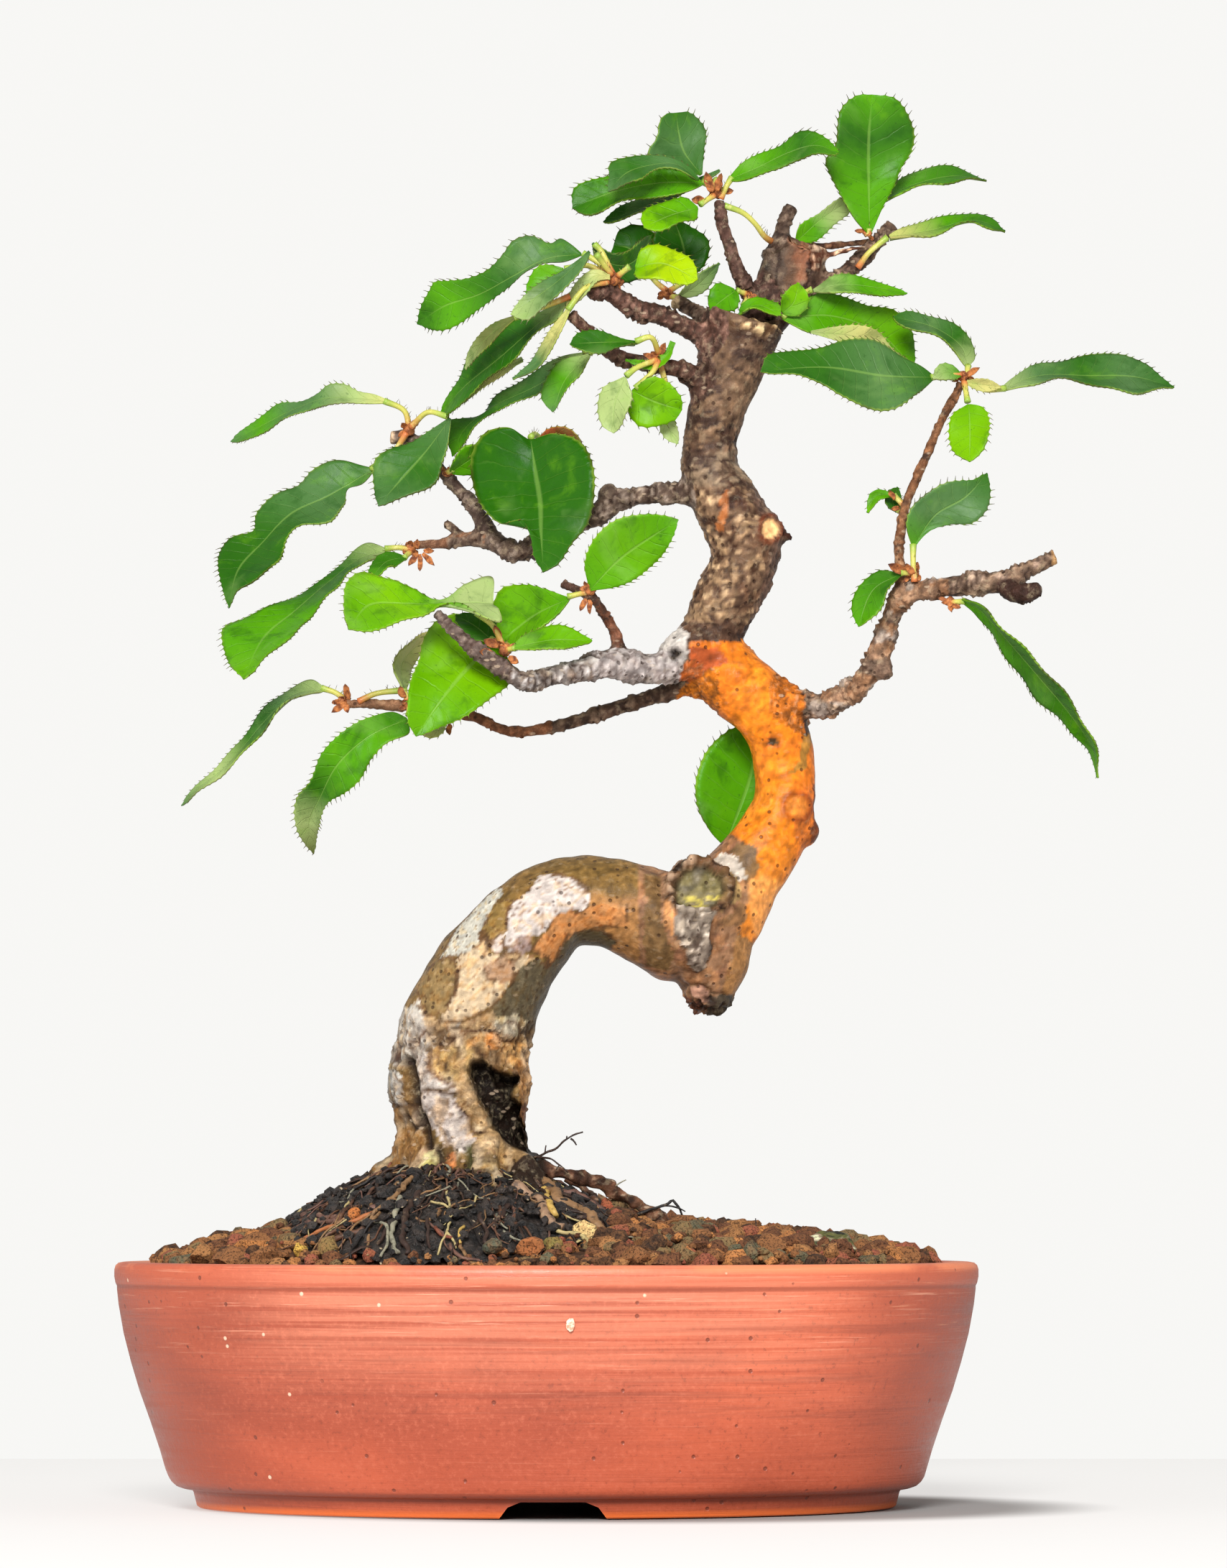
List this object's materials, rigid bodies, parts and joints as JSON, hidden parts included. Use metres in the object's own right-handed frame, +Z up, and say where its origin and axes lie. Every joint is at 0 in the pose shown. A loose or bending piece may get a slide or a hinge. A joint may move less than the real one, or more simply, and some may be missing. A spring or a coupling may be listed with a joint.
{
  "type": "bonsai tree in a pot",
  "caption": "Small quince bonsai with an S-curved trunk, surface roots and toothed leaves, planted in a plain oval unglazed stoneware pot.",
  "frame": {"origin": "middle of the bottom of the whole, on the plane the foot ring stands on", "axes": "+Z up from the pot to the crown, +Y away from the viewer, the tree leans over +X and -X along the pot's length"},
  "size_m": [0.1862, 0.114, 0.2486],
  "materials": {
    "stoneware": "satin, unglazed reddish brown",
    "screen_plastic": "matte black",
    "soil": "coarse brown fired-clay granules",
    "flake": "dark grey-green bark",
    "bark": "flaking orange, tan and grey bark",
    "leaf": "living leaf, satin green"
  },
  "bodies": {
    "root": {"pot": "stoneware", "drain_screen_left": "screen_plastic", "drain_screen_right": "screen_plastic", "soil": "soil", "bark_flake": "flake", "wood": "bark", "leaves_low_left": "leaf", "leaves_low_middle": "leaf", "leaves_left_far": "leaf", "leaves_left_low": "leaf", "leaves_left_middle": "leaf", "leaves_left_upper": "leaf", "leaf_left_small": "leaf", "leaf_broad": "leaf", "leaves_top_left": "leaf", "leaves_upper_left": "leaf", "leaves_upper_left_end": "leaf", "leaves_crown": "leaf", "leaves_top_back": "leaf", "leaves_top_front": "leaf", "leaves_top_right": "leaf", "leaves_top_right_low": "leaf", "leaves_right_top": "leaf", "leaves_right_base": "leaf", "leaf_right_hanging": "leaf", "leaf_behind_trunk": "leaf"}
  },
  "joints": []
}
